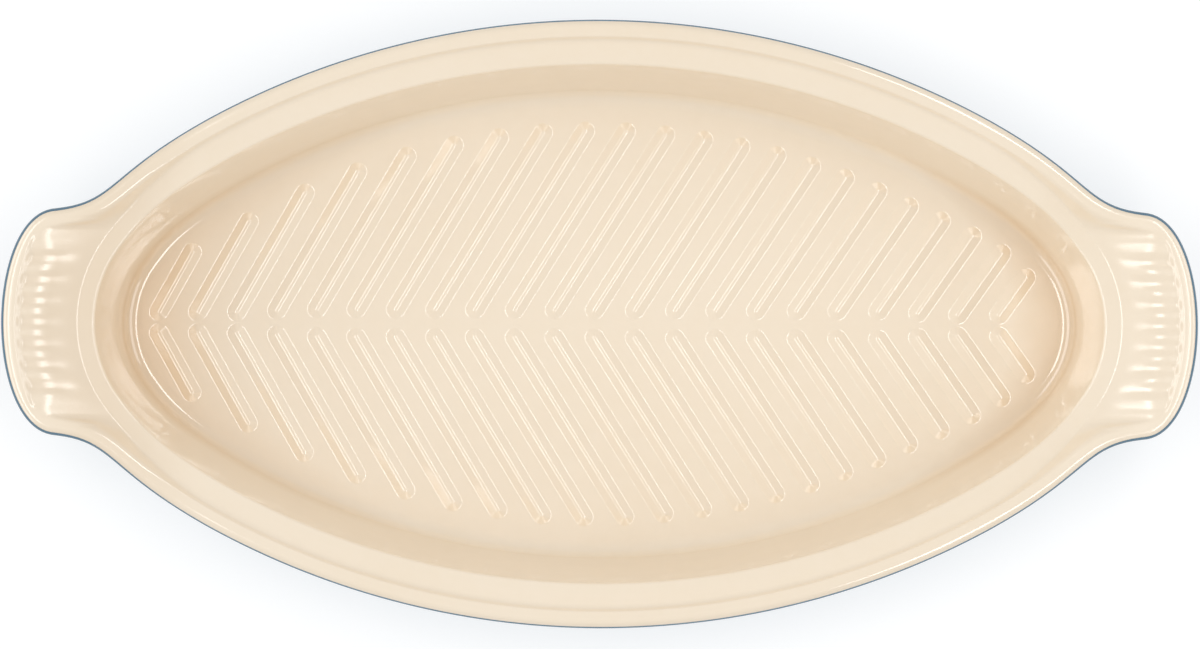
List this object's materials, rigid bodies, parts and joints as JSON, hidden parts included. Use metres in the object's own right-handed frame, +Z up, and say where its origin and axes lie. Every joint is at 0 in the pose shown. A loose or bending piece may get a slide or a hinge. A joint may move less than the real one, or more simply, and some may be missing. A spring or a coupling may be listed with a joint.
{
  "type": "baking dish",
  "caption": "Pointed-oval stoneware baking dish with a lug handle at each end, a stepped ledge, raised fishbone ribs on the floor, cream glaze inside and blue glaze outside.",
  "frame": {"origin": "under the middle of the dish, on the surface that its foot ring stands on", "axes": "+X along the dish, away from the points of the fishbone chevrons; +Y across it; +Z up"},
  "size_m": [0.4, 0.204, 0.051],
  "materials": {
    "bare_stoneware": "unglazed biscuit, fine grained and matt",
    "cream_glaze": "glossy cream glaze, slightly uneven, thinner on edges",
    "blue_glaze": "glossy blue glaze, thinner and lighter on edges"
  },
  "bodies": {
    "root": {"stoneware_body": "bare_stoneware", "interior_glaze": "cream_glaze", "exterior_glaze": "blue_glaze", "base_glaze": "blue_glaze"}
  },
  "joints": []
}
